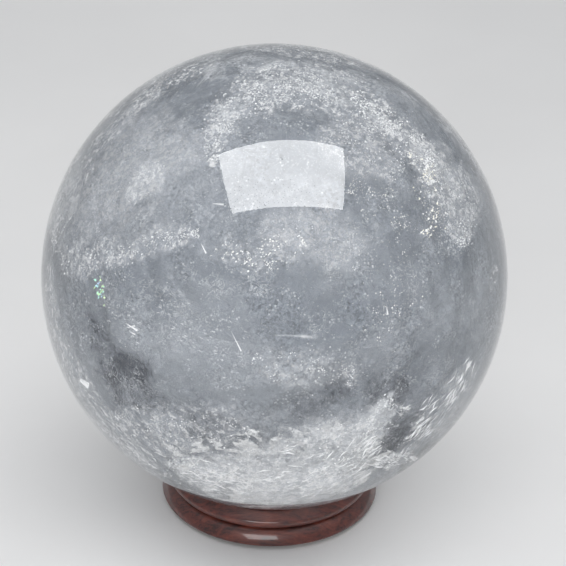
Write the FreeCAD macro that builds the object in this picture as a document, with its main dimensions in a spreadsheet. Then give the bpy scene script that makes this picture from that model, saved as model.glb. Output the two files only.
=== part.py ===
import FreeCAD, Part

import math
import os

import Sketcher

# A crystal ball resting on a low turned stand.
#
# The stand is two turned rings, one spigoted into the other, with a felt foot under it and a felt
# band lining its seat. The ball is loose: it rests on the band by its own weight.
# Millimetres, +Z up. The origin is the middle of the felt foot's underside, below the ball's centre.

SIZES = [
    ("ball_diameter", 80.0, "crystal ball, overall"),
    ("stand_diameter", 38.4, "stand across its foot edge, overall"),
    ("ring_width", 7.7, "radial width of both rings, foot edge to bore"),
    ("foot_thickness", 0.8, "felt foot"),
    ("foot_inset", 1.6, "felt foot, set in from the foot edge and from the bore"),
    ("base_height", 2.8, "base ring, foot face to top face"),
    ("cushion_radius", 4.0, "base ring, radius of its cushion moulding"),
    ("groove_setback", 2.6, "groove between the rings, in from the foot edge"),
    ("spigot_wall", 2.4, "seat ring's spigot, bore to outside"),
    ("spigot_length", 1.2, "seat ring's spigot, below the joint"),
    ("spigot_gap", 0.05, "glue gap round the spigot"),
    ("spigot_end_gap", 0.2, "glue gap under the spigot"),
    ("lip_height", 2.8, "seat ring, joint face to rim"),
    ("lip_setback", 1.2, "seat ring's bead, in from the foot edge"),
    ("lip_bead_radius", 0.85, "seat ring's bead"),
    ("lip_bead_end", 60.0, "degrees above level where the bead ends"),
    ("lip_slope_run", 0.85, "bead's centre in to the rim's outer edge"),
    ("rim_width", 0.5, "flat rim round the seat"),
    ("edge_round", 0.2, "softening of the turned edges"),
    ("felt_thickness", 0.6, "felt band in the seat"),
    ("felt_inset", 0.4, "felt band, clear of the rim and of the bore"),
    ("felt_glue_gap", 0.02, "glue under the felt band"),
    ("ball_gap", 0.1, "ball to felt band, running clearance"),
]

# Expressions for what follows from the sizes. Radii are from the stand's axis.
# Heights in a ring are from that ring's own lower face.
STAND_RADIUS = "(Sizes.stand_diameter / 2)"
BORE_RADIUS = f"({STAND_RADIUS} - Sizes.ring_width)"
GROOVE_RADIUS = f"({STAND_RADIUS} - Sizes.groove_setback)"
SPIGOT_RADIUS = f"({BORE_RADIUS} + Sizes.spigot_wall)"
SOCKET_RADIUS = f"({SPIGOT_RADIUS} + Sizes.spigot_gap)"
SOCKET_FLOOR = "(Sizes.base_height - Sizes.spigot_length - Sizes.spigot_end_gap)"
BEAD_CENTRE_RADIUS = f"({STAND_RADIUS} - Sizes.lip_setback - Sizes.lip_bead_radius)"
BEAD_END_RADIUS = f"({BEAD_CENTRE_RADIUS} + Sizes.lip_bead_radius * cos(Sizes.lip_bead_end * 1 deg))"
BEAD_END_HEIGHT = "(Sizes.lip_bead_radius * (1 + sin(Sizes.lip_bead_end * 1 deg)))"
RIM_RADIUS = f"({BEAD_CENTRE_RADIUS} - Sizes.lip_slope_run)"
SEAT_RADIUS = f"({RIM_RADIUS} - Sizes.rim_width)"
BALL_RADIUS = "(Sizes.ball_diameter / 2)"
FELT_TOP_RADIUS = f"({BALL_RADIUS} + Sizes.ball_gap)"
FELT_BACK_RADIUS = f"({FELT_TOP_RADIUS} + Sizes.felt_thickness)"
DISH_RADIUS = f"({FELT_BACK_RADIUS} + Sizes.felt_glue_gap)"
BALL_HEIGHT = f"(Sizes.lip_height + sqrt(pow({DISH_RADIUS}; 2) - pow({SEAT_RADIUS}; 2)))"
FELT_INNER_RADIUS = f"({BORE_RADIUS} + Sizes.felt_inset)"
FELT_OUTER_RADIUS = f"({SEAT_RADIUS} - Sizes.felt_inset)"
JOINT_LEVEL = "(Sizes.foot_thickness + Sizes.base_height)"

CONVEX = 1
HOLLOW = -1


def on_sphere(sphere_radius, radius):
    """The height, in the seat ring, of the underside of a sphere about the ball's centre."""
    return f"({BALL_HEIGHT} - sqrt(pow({sphere_radius}; 2) - pow({radius}; 2)))"


def make_sheet(doc):
    """Puts the driving sizes in a spreadsheet, one named cell each."""
    sheet = doc.addObject("Spreadsheet::Sheet", "Sizes")
    for row, (alias, value, meaning) in enumerate(SIZES, start=1):
        sheet.set(f"A{row}", meaning)
        sheet.set(f"B{row}", str(value))
        sheet.setAlias(f"B{row}", alias)
    doc.recompute()


def new_body(doc, label, level=None):
    """An empty body, raised to a level above the table."""
    body = doc.addObject("PartDesign::Body", label)
    body.Label = label
    if level:
        body.setExpression("Placement.Base.z", level)
    return body


def new_sketch(body, role, name):
    """A sketch on one of the body's own origin planes."""
    sketch = body.newObject("Sketcher::SketchObject", name)
    plane = next(feature for feature in body.Origin.OriginFeatures if feature.Role == role)
    sketch.AttachmentSupport = [(plane, "")]
    sketch.MapMode = "FlatFace"
    return sketch


def start_arc(start, end, radius, side):
    """An arc from start to end, with its centre on the left of the way for CONVEX."""
    half = (end - start) * 0.5
    offset = math.sqrt(max(radius**2 - half.Length**2, 0.0))
    left = FreeCAD.Vector(-half.y, half.x, 0).normalize()
    centre = start + half + left * (side * offset)
    first, last = (start, end) if side == CONVEX else (end, start)
    angles = [math.atan2(point.y - centre.y, point.x - centre.x) for point in (first, last)]
    return Part.ArcOfCircle(Part.Circle(centre, FreeCAD.Vector(0, 0, 1), radius), *angles)


def draw_section(sketch, corners, arcs):
    """Draws a closed section, anticlockwise, with every size bound to the sheet.

    corners is a list of (name, radius, height). arcs gives, for the name of the corner that an
    arc starts from, its radius and its side. The other corners start straight edges.
    """
    points = []
    for _, radius, height in corners:
        values = [float(sketch.evalExpression(text)) for text in (radius, height)]
        points.append(FreeCAD.Vector(values[0], values[1], 0))
    ends = []
    for index, (name, _, _) in enumerate(corners):
        start, end = points[index], points[(index + 1) % len(points)]
        if name in arcs:
            text, side = arcs[name]
            edge = sketch.addGeometry(start_arc(start, end, float(sketch.evalExpression(text)), side))
            ends.append((edge, 1, 2) if side == CONVEX else (edge, 2, 1))
        else:
            edge = sketch.addGeometry(Part.LineSegment(start, end))
            ends.append((edge, 1, 2))
    for index, (edge, _, last) in enumerate(ends):
        following = ends[(index + 1) % len(ends)]
        sketch.addConstraint(Sketcher.Constraint("Coincident", edge, last, following[0], following[1]))
    for index, (name, radius, height) in enumerate(corners):
        edge, first, _ = ends[index]
        point = points[index]
        bind(sketch, f"{name}_radius", ("DistanceX", -1, 1, edge, first, point.x), radius)
        bind(sketch, f"{name}_height", ("DistanceY", -1, 1, edge, first, point.y), height)
        if name in arcs:
            text, _ = arcs[name]
            value = float(sketch.evalExpression(text))
            bind(sketch, f"{name}_arc", ("Radius", edge, value), text)


def bind(sketch, name, constraint, text):
    """Adds a named dimension and binds it to an expression."""
    index = sketch.addConstraint(Sketcher.Constraint(*constraint))
    sketch.renameConstraint(index, name)
    sketch.setExpression(f"Constraints.{name}", text)


def revolve(body, sketch, name):
    """Turns a section once round the stand's axis."""
    turned = body.newObject("PartDesign::Revolution", name)
    turned.Profile = sketch
    turned.ReferenceAxis = (sketch, ["V_Axis"])
    turned.Angle = 360.0
    sketch.Visibility = False
    return turned


def round_edges(doc, body, base, places):
    """Softens the circular edges at the given (radius, height) expressions."""
    doc.recompute()
    wanted = [[float(base.evalExpression(text)) for text in place] for place in places]
    names = []
    for number, edge in enumerate(base.Shape.Edges, start=1):
        if not isinstance(edge.Curve, Part.Circle):
            continue
        here = (edge.Curve.Radius, edge.Curve.Center.z)
        if any(math.dist(here, place) < 1e-4 for place in wanted):
            names.append(f"Edge{number}")
    if len(names) != len(places):
        raise RuntimeError(f"{body.Label}: {len(names)} edges to soften, not {len(places)}")
    rounding = body.newObject("PartDesign::Fillet", f"{base.Name}_softened")
    rounding.Base = (base, names)
    rounding.setExpression("Radius", "Sizes.edge_round")


def make_foot_felt(doc):
    """The felt ring under the stand, which stands on the table."""
    body = new_body(doc, "foot_felt")
    sketch = new_sketch(body, "XY_Plane", "foot_plan")
    edges = {
        "inner": f"({BORE_RADIUS} + Sizes.foot_inset)",
        "outer": f"({STAND_RADIUS} - Sizes.foot_inset)",
    }
    for name, text in edges.items():
        radius = float(sketch.evalExpression(text))
        circle = Part.Circle(FreeCAD.Vector(0, 0, 0), FreeCAD.Vector(0, 0, 1), radius)
        edge = sketch.addGeometry(circle)
        sketch.addConstraint(Sketcher.Constraint("Coincident", edge, 3, -1, 1))
        bind(sketch, name, ("Radius", edge, radius), text)
    pad = body.newObject("PartDesign::Pad", "foot_sheet")
    pad.Profile = sketch
    pad.setExpression("Length", "Sizes.foot_thickness")
    sketch.Visibility = False
    return body


def make_base_ring(doc):
    """The lower turned ring: a cushion moulding outside, a socket for the spigot inside."""
    body = new_body(doc, "base_ring", "Sizes.foot_thickness")
    sketch = new_sketch(body, "XZ_Plane", "base_section")
    corners = [
        ("bore_foot", BORE_RADIUS, "0"),
        ("foot_edge", STAND_RADIUS, "0"),
        ("groove", GROOVE_RADIUS, "Sizes.base_height"),
        ("socket_mouth", SOCKET_RADIUS, "Sizes.base_height"),
        ("socket_corner", SOCKET_RADIUS, SOCKET_FLOOR),
        ("socket_floor", BORE_RADIUS, SOCKET_FLOOR),
    ]
    draw_section(sketch, corners, {"foot_edge": ("Sizes.cushion_radius", CONVEX)})
    turned = revolve(body, sketch, "base_turned")
    round_edges(doc, body, turned, [(BORE_RADIUS, "0"), (STAND_RADIUS, "0")])
    return body


def make_seat_ring(doc):
    """The upper turned ring: a small bead outside, and a dish that follows the ball inside."""
    body = new_body(doc, "seat_ring", JOINT_LEVEL)
    sketch = new_sketch(body, "XZ_Plane", "seat_section")
    corners = [
        ("spigot_end", BORE_RADIUS, "-Sizes.spigot_length"),
        ("spigot_corner", SPIGOT_RADIUS, "-Sizes.spigot_length"),
        ("spigot_root", SPIGOT_RADIUS, "0"),
        ("bead_foot", BEAD_CENTRE_RADIUS, "0"),
        ("bead_end", BEAD_END_RADIUS, BEAD_END_HEIGHT),
        ("rim", RIM_RADIUS, "Sizes.lip_height"),
        ("seat_edge", SEAT_RADIUS, "Sizes.lip_height"),
        ("seat_bore", BORE_RADIUS, on_sphere(DISH_RADIUS, BORE_RADIUS)),
    ]
    arcs = {
        "bead_foot": ("Sizes.lip_bead_radius", CONVEX),
        "seat_edge": (DISH_RADIUS, HOLLOW),
    }
    draw_section(sketch, corners, arcs)
    turned = revolve(body, sketch, "seat_turned")
    round_edges(doc, body, turned, [(RIM_RADIUS, "Sizes.lip_height")])
    return body


def make_seat_felt(doc):
    """The felt band that lines the dish, as thick everywhere, under the ball."""
    body = new_body(doc, "seat_felt", JOINT_LEVEL)
    sketch = new_sketch(body, "XZ_Plane", "felt_section")
    corners = [
        ("back_inner", FELT_INNER_RADIUS, on_sphere(FELT_BACK_RADIUS, FELT_INNER_RADIUS)),
        ("back_outer", FELT_OUTER_RADIUS, on_sphere(FELT_BACK_RADIUS, FELT_OUTER_RADIUS)),
        ("top_outer", FELT_OUTER_RADIUS, on_sphere(FELT_TOP_RADIUS, FELT_OUTER_RADIUS)),
        ("top_inner", FELT_INNER_RADIUS, on_sphere(FELT_TOP_RADIUS, FELT_INNER_RADIUS)),
    ]
    arcs = {
        "back_inner": (FELT_BACK_RADIUS, CONVEX),
        "top_outer": (FELT_TOP_RADIUS, HOLLOW),
    }
    draw_section(sketch, corners, arcs)
    revolve(body, sketch, "felt_turned")
    return body


def make_crystal_ball(doc):
    """The polished ball, centred over the stand and resting on the felt band."""
    ball = doc.addObject("Part::Sphere", "crystal_ball")
    ball.Label = "crystal_ball"
    ball.setExpression("Radius", BALL_RADIUS)
    ball.setExpression("Placement.Base.z", f"{JOINT_LEVEL} + {BALL_HEIGHT}")
    return ball


def check(doc, parts):
    """Stops the build on a failed object, or on a sub-part that isn't one valid solid."""
    failed = [item.Label for item in doc.Objects if {"Invalid", "Error"} & set(item.State)]
    if failed:
        raise RuntimeError(f"failed objects: {failed}")
    for part in parts:
        shape = part.Shape
        if shape.isNull() or not shape.isValid() or len(shape.Solids) != 1:
            raise RuntimeError(f"{part.Label} isn't one valid solid")


def main():
    doc = FreeCAD.newDocument("CrystalBallOnStand")
    make_sheet(doc)
    parts = [
        make_foot_felt(doc),
        make_base_ring(doc),
        make_seat_ring(doc),
        make_seat_felt(doc),
        make_crystal_ball(doc),
    ]
    doc.recompute()
    check(doc, parts)
    os.makedirs("parts", exist_ok=True)
    for part in parts:
        part.Shape.exportStep(f"parts/{part.Label}.step")
        box = part.Shape.BoundBox
        size = f"{box.XLength:.2f} x {box.YLength:.2f} x {box.ZLength:.2f}"
        print(f"{part.Label}: {size} mm, z {box.ZMin:.2f} to {box.ZMax:.2f}, {part.Shape.Volume:.1f} mm3")


main()
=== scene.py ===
import logging
import math
import random
from dataclasses import dataclass, field
from enum import Enum

import bmesh
import bpy
from mathutils import Matrix, Quaternion, Vector, noise
from mathutils.kdtree import KDTree


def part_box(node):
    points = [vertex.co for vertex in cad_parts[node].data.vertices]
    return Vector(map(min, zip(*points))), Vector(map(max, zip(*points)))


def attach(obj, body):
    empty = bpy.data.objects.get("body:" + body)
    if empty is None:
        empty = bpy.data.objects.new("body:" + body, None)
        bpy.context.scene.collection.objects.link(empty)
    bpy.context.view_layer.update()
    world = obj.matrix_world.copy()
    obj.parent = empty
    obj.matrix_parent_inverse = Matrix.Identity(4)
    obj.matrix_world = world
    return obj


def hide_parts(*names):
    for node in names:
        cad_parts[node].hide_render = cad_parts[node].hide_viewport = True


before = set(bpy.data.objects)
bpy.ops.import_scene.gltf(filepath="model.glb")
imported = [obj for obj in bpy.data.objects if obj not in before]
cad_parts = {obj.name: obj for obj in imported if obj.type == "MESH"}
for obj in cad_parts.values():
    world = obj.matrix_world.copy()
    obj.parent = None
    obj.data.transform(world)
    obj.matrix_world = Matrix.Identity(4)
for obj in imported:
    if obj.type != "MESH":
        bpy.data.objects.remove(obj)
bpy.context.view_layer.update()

log = logging.getLogger("crystal_ball")

MM = 0.001
UP = Vector((0.0, 0.0, 1.0))

Colour = tuple[float, float, float]
Place = tuple[float, float]
PathPoint = tuple[float, float, float]
Socket = bpy.types.NodeSocket
Feed = Socket | float | Colour


class Body(Enum):
    """The rigid bodies that pieces ride on."""

    BALL = "ball"


class Slot(Enum):
    """The record's material slots."""

    QUARTZ = "quartz"


class Wiring:
    """Lays nodes in one node tree and joins their sockets."""

    def __init__(self, tree: bpy.types.NodeTree) -> None:
        """Takes the tree that the nodes go into.

        Args:
            tree: a material's or a group's node tree.
        """
        self.tree = tree

    def node(self, kind: str, **settings: object) -> bpy.types.Node:
        """Adds a node.

        Args:
            kind: the node's type, without the leading "ShaderNode".
            settings: properties of the node to set.

        Returns:
            The new node.
        """
        made = self.tree.nodes.new(f"ShaderNode{kind}")
        for name, value in settings.items():
            setattr(made, name, value)
        return made

    def feed(self, target: Socket, value: Feed) -> None:
        """Joins a socket to the target, or sets a plain value on it.

        Args:
            target: the input socket.
            value: an output socket, a number or a colour.
        """
        if isinstance(value, bpy.types.NodeSocket):
            self.tree.links.new(value, target)
        elif isinstance(value, tuple) and len(value) == 3 and target.type == "RGBA":
            target.default_value = (*value, 1.0)
        else:
            target.default_value = value

    def maths(self, operation: str, first: Feed, second: Feed = 0.0, clamp: bool = False) -> Socket:
        """Works out one sum.

        Args:
            operation: the Math node's operation.
            first: its first number.
            second: its second number.
            clamp: keeps the result between 0 and 1.

        Returns:
            The result's socket.
        """
        made = self.node("Math", operation=operation, use_clamp=clamp)
        self.feed(made.inputs[0], first)
        self.feed(made.inputs[1], second)
        return made.outputs[0]

    def ramp(self, value: Feed, low: float, high: float, start: float = 0.0, end: float = 1.0) -> Socket:
        """Eases a value from start to end as it goes from low to high.

        Args:
            value: the number to read.
            low: where the ramp starts.
            high: where it ends.
            start: the result up to low.
            end: the result from high.

        Returns:
            The eased value's socket.
        """
        made = self.node("MapRange", interpolation_type="SMOOTHSTEP", clamp=True)
        for socket, number in zip(made.inputs, (value, low, high, start, end)):
            self.feed(socket, number)
        return made.outputs[0]

    def blend(self, share: Feed, first: Feed, second: Feed, how: str = "MIX") -> Socket:
        """Blends two colours.

        Args:
            share: how much of the second shows.
            first: the colour at share 0.
            second: the colour at share 1.
            how: the Mix node's blend type.

        Returns:
            The blended colour's socket.
        """
        made = self.node("Mix", data_type="RGBA", blend_type=how, clamp_factor=True)
        self.feed(made.inputs[0], share)
        self.feed(made.inputs[6], first)
        self.feed(made.inputs[7], second)
        return made.outputs[2]

    def grey(self, value: Feed) -> Socket:
        """A grey of the given strength.

        Args:
            value: the strength.

        Returns:
            The colour's socket.
        """
        made = self.node("CombineColor", mode="RGB")
        for socket in made.inputs:
            self.feed(socket, value)
        return made.outputs[0]

    def place(self) -> Socket:
        """The point's place on its own piece, in metres."""
        return self.node("TexCoord").outputs["Object"]

    def shifted(self, place: Socket, shift: Vector, stretch: Vector | None = None) -> Socket:
        """Moves and stretches the place that a texture reads.

        Args:
            place: the place to move.
            shift: how far, in metres.
            stretch: how much finer the texture is along each axis.

        Returns:
            The new place's socket.
        """
        made = self.node("Mapping")
        self.feed(made.inputs["Vector"], place)
        made.inputs["Location"].default_value = shift
        made.inputs["Scale"].default_value = stretch or Vector((1.0, 1.0, 1.0))
        return made.outputs[0]

    def noise(self, place: Socket, scale: Feed, detail: float, rough: float, warp: float = 0.0) -> Socket:
        """Fractal noise around 0.5.

        Args:
            place: the place to read it at.
            scale: features per metre.
            detail: how many finer octaves are added.
            rough: how strong the finer octaves are.
            warp: how much it is distorted.

        Returns:
            The noise's socket.
        """
        made = self.node("TexNoise", noise_dimensions="3D")
        self.feed(made.inputs["Vector"], place)
        self.feed(made.inputs["Scale"], scale)
        made.inputs["Detail"].default_value = detail
        made.inputs["Roughness"].default_value = rough
        made.inputs["Distortion"].default_value = warp
        return made.outputs["Fac"]

    def cells(self, place: Socket, scale: float) -> Socket:
        """Distance to the nearest of scattered points, in cell widths.

        Args:
            place: the place to read it at.
            scale: cells per metre.

        Returns:
            The distance's socket.
        """
        made = self.node("TexVoronoi", voronoi_dimensions="3D", feature="F1")
        self.feed(made.inputs["Vector"], place)
        made.inputs["Scale"].default_value = scale
        return made.outputs["Distance"]

    def weighed(self, first: Feed, share: float, second: Feed, other: float) -> Socket:
        """Adds two numbers, each by its own share.

        Args:
            first: a number.
            share: how much of it counts.
            second: another number.
            other: how much of that one counts.

        Returns:
            The sum's socket.
        """
        return self.maths("ADD", self.maths("MULTIPLY", first, share), self.maths("MULTIPLY", second, other))

    def lines(self, place: Socket, scale: float, warp: float) -> Socket:
        """Wandering thin lines, as the distance from where a noise crosses its middle.

        Args:
            place: the place to read it at.
            scale: features per metre.
            warp: how much they are distorted.

        Returns:
            The distance's socket: 0 on a line.
        """
        return self.maths("ABSOLUTE", self.maths("SUBTRACT", self.noise(place, scale, 3.0, 0.6, warp), 0.5))

    def attribute(self, name: str) -> Socket:
        """A number stored on the mesh's points or faces.

        Args:
            name: the attribute's name.

        Returns:
            Its socket.
        """
        made = self.node("Attribute", attribute_type="GEOMETRY", attribute_name=name)
        return made.outputs["Fac"]

    def bump(self, height: Socket, depth: float, strength: float = 1.0) -> Socket:
        """A normal that stands for small relief.

        Args:
            height: the relief, 0 to 1.
            depth: what 1 stands for, in metres.
            strength: how much of it shows.

        Returns:
            The normal's socket.
        """
        made = self.node("Bump")
        made.inputs["Strength"].default_value = strength
        made.inputs["Distance"].default_value = depth
        self.feed(made.inputs["Height"], height)
        return made.outputs["Normal"]

    def group(self, tree: bpy.types.NodeTree, **values: Feed) -> bpy.types.Node:
        """Places a shared node group.

        Args:
            tree: the group.
            values: its inputs by name, with spaces written as underscores.

        Returns:
            The group's node.
        """
        made = self.node("Group", node_tree=tree)
        for name, value in values.items():
            self.feed(made.inputs[name.replace("_", " ")], value)
        return made


class SharedEffect:
    """A shader node group that several finishes use, built on its first use."""

    built: dict[str, bpy.types.NodeTree] = {}

    @classmethod
    def tree(cls, name: str, takes: dict[str, str], gives: dict[str, str]) -> tuple[bpy.types.NodeTree, bool]:
        """Finds or starts a group.

        Args:
            name: the group's name.
            takes: its inputs' names and kinds.
            gives: its outputs' names and kinds.

        Returns:
            The group, and whether it is new and still to be filled.
        """
        if name in cls.built:
            return cls.built[name], False
        made = bpy.data.node_groups.new(name, "ShaderNodeTree")
        for label, kind in takes.items():
            made.interface.new_socket(label, in_out="INPUT", socket_type=f"NodeSocket{kind}")
        for label, kind in gives.items():
            made.interface.new_socket(label, in_out="OUTPUT", socket_type=f"NodeSocket{kind}")
        cls.built[name] = made
        return made, True


def cloud_effect() -> bpy.types.NodeTree:
    """Soft billows with torn edges, for milk in quartz.

    Returns:
        A group that takes a place, features per metre and a cover, and gives a mask.
    """
    tree, new = SharedEffect.tree(
        "milk_billows",
        {"Place": "Vector", "Scale": "Float", "Cover": "Float"},
        {"Mask": "Float"},
    )
    if not new:
        return tree
    wiring = Wiring(tree)
    given = tree.nodes.new("NodeGroupInput")
    result = tree.nodes.new("NodeGroupOutput")
    fine = wiring.maths("MULTIPLY", given.outputs["Scale"], 5.5)
    broad = wiring.noise(given.outputs["Place"], given.outputs["Scale"], 7.0, 0.58, 0.9)
    torn = wiring.noise(given.outputs["Place"], fine, 5.0, 0.7, 0.4)
    mixed = wiring.maths("ADD", broad, wiring.maths("MULTIPLY", wiring.maths("SUBTRACT", torn, 0.5), 0.22))
    level = wiring.maths("SUBTRACT", mixed, wiring.maths("SUBTRACT", 1.0, given.outputs["Cover"]))
    wiring.feed(result.inputs["Mask"], wiring.ramp(level, -0.07, 0.11))
    return tree


def grain_effect() -> bpy.types.NodeTree:
    """Fine bright grains, as the healed cracks in quartz scatter light.

    Returns:
        A group that takes a place and the share that the grains fill, and gives a mask.
    """
    tree, new = SharedEffect.tree(
        "healed_grain",
        {"Place": "Vector", "Share": "Float"},
        {"Mask": "Float"},
    )
    if not new:
        return tree
    wiring = Wiring(tree)
    given = tree.nodes.new("NodeGroupInput")
    result = tree.nodes.new("NodeGroupOutput")
    place = given.outputs["Place"]
    coarse = wiring.ramp(wiring.cells(place, 1500.0), 0.34, 0.12)
    small = wiring.ramp(wiring.cells(place, 3200.0), 0.36, 0.14)
    patchy = wiring.noise(place, 260.0, 4.0, 0.65, 0.5)
    both = wiring.maths("MAXIMUM", coarse, wiring.maths("MULTIPLY", small, 0.7))
    level = wiring.maths("SUBTRACT", patchy, wiring.maths("SUBTRACT", 1.0, given.outputs["Share"]))
    wiring.feed(result.inputs["Mask"], wiring.maths("MULTIPLY", both, wiring.ramp(level, -0.06, 0.1)))
    return tree


def new_material(name: str) -> tuple[bpy.types.Material, Wiring, bpy.types.Node, bpy.types.Node]:
    """Starts a material with a Principled shader.

    Args:
        name: the material's name.

    Returns:
        The material, its wiring, the Principled node and the output node.
    """
    material = bpy.data.materials.new(name)
    material.use_nodes = True
    tree = material.node_tree
    tree.nodes.clear()
    wiring = Wiring(tree)
    shader = wiring.node("BsdfPrincipled")
    result = wiring.node("OutputMaterial")
    wiring.feed(result.inputs["Surface"], shader.outputs[0])
    return material, wiring, shader, result


@dataclass(frozen=True)
class PolishedQuartz:
    """The ball's own polished skin: clear, with a few tiny pits."""

    index: float = 1.544
    pit_depth: float = 0.030 * MM
    pits: float = 420.0

    def material(self) -> bpy.types.Material:
        """Builds the finish.

        Returns:
            A clear material that lets lamps reach what is inside the ball.
        """
        made, wiring, shader, result = new_material("polished_quartz")
        place = wiring.place()
        pits = wiring.ramp(wiring.cells(place, self.pits), 0.085, 0.045)
        chosen = wiring.ramp(wiring.noise(place, 120.0, 2.0, 0.5), 0.51, 0.54)
        dips = wiring.maths("MULTIPLY", pits, chosen)
        wiring.feed(shader.inputs["Base Color"], (0.985, 0.99, 1.0))
        shader.inputs["Roughness"].default_value = 0.0
        shader.inputs["IOR"].default_value = self.index
        shader.inputs["Transmission Weight"].default_value = 1.0
        wiring.feed(shader.inputs["Normal"], wiring.bump(wiring.maths("SUBTRACT", 1.0, dips), self.pit_depth))
        path = wiring.node("LightPath")
        passing = wiring.maths("MAXIMUM", path.outputs["Is Shadow Ray"], path.outputs["Is Diffuse Ray"])
        clear = wiring.node("BsdfTransparent")
        either = wiring.node("MixShader")
        wiring.feed(either.inputs[0], passing)
        wiring.feed(either.inputs[1], shader.outputs[0])
        wiring.feed(either.inputs[2], clear.outputs[0])
        wiring.feed(result.inputs["Surface"], either.outputs[0])
        return made


@dataclass(frozen=True)
class MilkyHeart:
    """The dense milk in the middle of the crystal: even grey, white snow, and pockets painted dark, a painted
    shade that stands for dark surroundings seen through clear quartz.

    clouds, wisps, sand and threads are how many of each there are to the metre.
    """

    milk: Colour = (0.285, 0.310, 0.345)
    pale: Colour = (0.43, 0.455, 0.49)
    painted_dark_pocket: Colour = (0.060, 0.069, 0.088)
    snow: Colour = (0.84, 0.86, 0.885)
    clouds: float = 44.0
    wisps: float = 300.0
    sand: float = 1900.0
    threads: float = 560.0

    def material(self) -> bpy.types.Material:
        """Builds the finish, which reads the masks that the heart's mesh holds.

        Returns:
            The material.
        """
        made, wiring, shader, _ = new_material("milky_heart")
        place = wiring.place()
        clouds = wiring.group(cloud_effect(), Place=place, Scale=self.clouds, Cover=0.49).outputs["Mask"]
        wisps = wiring.noise(wiring.shifted(place, Vector((0.3, 0.1, 0.7))), self.wisps, 8.0, 0.76, 1.4)
        sand = wiring.noise(place, self.sand, 3.0, 0.75, 0.5)
        patches = wiring.noise(wiring.shifted(place, Vector((0.2, 0.5, 0.1))), 130.0, 5.0, 0.7)
        sandy = wiring.ramp(patches, 0.42, 0.62)
        threads = wiring.lines(place, self.threads, 1.8)
        chosen = wiring.ramp(wiring.noise(place, 150.0, 3.0, 0.6), 0.50, 0.62)
        dark = wiring.attribute("painted_dark_pocket")
        bright = wiring.attribute("snow")
        colour = wiring.blend(wiring.maths("MULTIPLY", clouds, 0.45), self.milk, self.pale)
        colour = wiring.blend(wiring.ramp(wisps, 0.46, 0.68, 0.0, 0.45), colour, self.pale)
        loose = wiring.maths("MULTIPLY", wiring.maths("SUBTRACT", sand, 0.5), sandy)
        torn = wiring.maths("ADD", wisps, wiring.maths("MULTIPLY", loose, 0.7))
        # Painted shade: the pockets are painted dark, as clear quartz looks with dark surroundings seen
        # through it.
        painted_dark_mask = wiring.ramp(wiring.maths("ADD", wiring.maths("MULTIPLY", dark, 0.46), torn), 0.72, 1.02)
        colour = wiring.blend(painted_dark_mask, colour, self.painted_dark_pocket)
        # drift whitens the heart behind the zones; low in front, under the snow drift, this is partly a
        # painted pool of the light that the ball focuses there.
        drift = wiring.ramp(wiring.maths("ADD", wiring.maths("MULTIPLY", bright, 0.60), torn), 0.72, 1.06)
        colour = wiring.blend(drift, colour, self.snow)
        colour = wiring.blend(1.0, colour, wiring.grey(wiring.ramp(loose, -0.2, 0.2, 0.60, 1.40)), "MULTIPLY")
        lines = wiring.maths("MULTIPLY", wiring.ramp(threads, 0.022, 0.006), chosen)
        colour = wiring.blend(wiring.maths("MULTIPLY", lines, 0.7), colour, self.snow)
        grain = wiring.group(grain_effect(), Place=place, Share=0.47).outputs["Mask"]
        colour = wiring.blend(wiring.maths("MULTIPLY", grain, 0.9), colour, self.snow)
        wiring.feed(shader.inputs["Base Color"], colour)
        shader.inputs["Roughness"].default_value = 0.7
        shader.inputs["Specular IOR Level"].default_value = 0.1
        relief = wiring.weighed(wisps, 0.7, sand, 0.3)
        wiring.feed(shader.inputs["Normal"], wiring.bump(relief, 0.8 * MM, 0.8))
        return made


@dataclass(frozen=True)
class DriftingMilk:
    """Thin milk that hangs between the heart and the skin, with gaps.

    scale is how many clouds there are to the metre, cover how far they spread, strength
    how dense they are, and least what is left between them.
    """

    name: str
    scale: float
    cover: float
    strength: float
    shift: Vector
    least: float = 0.0
    tone: Colour = (0.50, 0.53, 0.57)
    bright: Colour = (0.80, 0.82, 0.84)

    def material(self) -> bpy.types.Material:
        """Builds the finish.

        Returns:
            A see-through material, denser where the milk gathers.
        """
        made, wiring, shader, _ = new_material(self.name)
        place = wiring.shifted(wiring.place(), self.shift)
        clouds = wiring.group(cloud_effect(), Place=place, Scale=self.scale, Cover=self.cover).outputs["Mask"]
        fine = wiring.noise(place, 900.0, 5.0, 0.75, 0.8)
        dense = wiring.ramp(fine, 0.40, 0.60, 0.3 * self.strength, self.strength)
        body = wiring.maths("MULTIPLY", clouds, dense)
        wiring.feed(shader.inputs["Alpha"], wiring.maths("ADD", body, self.least, clamp=True))
        tone = wiring.blend(wiring.ramp(fine, 0.52, 0.70), self.tone, self.bright)
        wiring.feed(shader.inputs["Base Color"], tone)
        shader.inputs["Roughness"].default_value = 0.8
        shader.inputs["Specular IOR Level"].default_value = 0.0
        wiring.feed(shader.inputs["Normal"], wiring.bump(clouds, 1.0 * MM, 0.6))
        return made


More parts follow.
